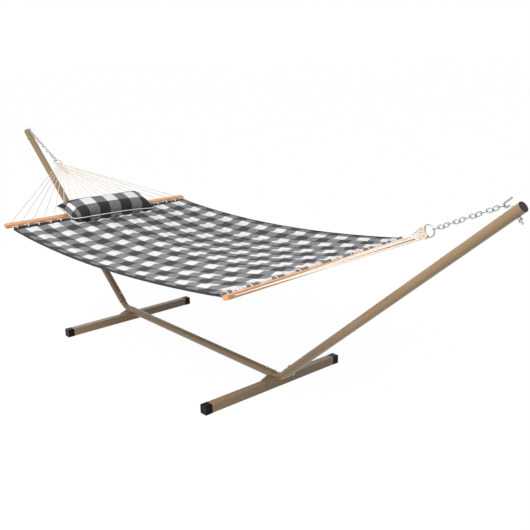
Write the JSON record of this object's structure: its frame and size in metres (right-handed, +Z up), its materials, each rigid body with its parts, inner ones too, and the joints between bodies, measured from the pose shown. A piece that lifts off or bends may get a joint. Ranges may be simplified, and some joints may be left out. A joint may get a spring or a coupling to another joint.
{
  "type": "hammock on stand",
  "caption": "Quilted checked hammock hung by cord fans and chains between the raised arms of a tubular steel stand, with a loose pillow at its head end.",
  "frame": {"origin": "on the floor, midway between the two arm ends and on the stand's centre line", "axes": "+X along the stand towards the foot end, +Y across it to the right of someone lying with the head at -X, +Z up"},
  "size_m": [4.5442, 1.448, 1.2977],
  "materials": {
    "stand_paint": "satin",
    "cap_plastic": "matte",
    "plug_plastic": "matte",
    "zinc_steel": "zinc plated",
    "bar_wood": "varnished",
    "cord_cotton": "twisted cord",
    "bed_cloth": "woven check",
    "binding_cloth": "woven",
    "pillow_cloth": "woven check"
  },
  "bodies": {
    "stand": {"base_beam_head": "stand_paint", "beam_cap_head_left": "cap_plastic", "beam_cap_head_right": "cap_plastic", "saddle_head": "stand_paint", "elbow_head": "stand_paint", "arm_head": "stand_paint", "arm_plug_head": "plug_plastic", "hook_head": "zinc_steel", "hook_washer_head": "zinc_steel", "base_beam_foot": "stand_paint", "beam_cap_foot_left": "cap_plastic", "beam_cap_foot_right": "cap_plastic", "saddle_foot": "stand_paint", "elbow_foot": "stand_paint", "arm_foot": "stand_paint", "arm_plug_foot": "plug_plastic", "hook_foot": "zinc_steel", "hook_washer_foot": "zinc_steel", "center_tube": "stand_paint", "joint_bolts": "zinc_steel", "joint_nuts": "zinc_steel"},
    "hammock": {"chain_head": "zinc_steel", "ring_head": "zinc_steel", "clew_head": "cord_cotton", "cords_head": "cord_cotton", "spreader_bar_head": "bar_wood", "hem_rod_head": "bar_wood", "chain_foot": "zinc_steel", "ring_foot": "zinc_steel", "clew_foot": "cord_cotton", "cords_foot": "cord_cotton", "spreader_bar_foot": "bar_wood", "hem_rod_foot": "bar_wood", "bed": "bed_cloth", "edge_binding_left": "binding_cloth", "edge_binding_right": "binding_cloth"},
    "pillow": {"pillow": "pillow_cloth"},
    "wing_nut_head": {"wing_nut_head": "zinc_steel"},
    "wing_nut_foot": {"wing_nut_foot": "zinc_steel"}
  },
  "joints": [
    {"name": "hammock_swing", "type": "hinge", "parent": "stand", "child": "hammock", "pos_m": [0, 0, 1.25644], "axis": [1, 0, 0], "range_deg": [-25, 25]},
    {"name": "pillow_lift", "type": "slide", "parent": "hammock", "child": "pillow", "axis": [0, 0, 1], "range_m": [0, 0.15]},
    {"name": "wing_nut_head_turn", "type": "hinge", "parent": "stand", "child": "wing_nut_head", "pos_m": [-2.22424, 0, 1.23782], "axis": [0.6428, 0, 0.766], "continuous": true},
    {"name": "wing_nut_foot_turn", "type": "hinge", "parent": "stand", "child": "wing_nut_foot", "pos_m": [2.22424, 0, 1.23782], "axis": [-0.6428, 0, 0.766], "continuous": true}
  ]
}
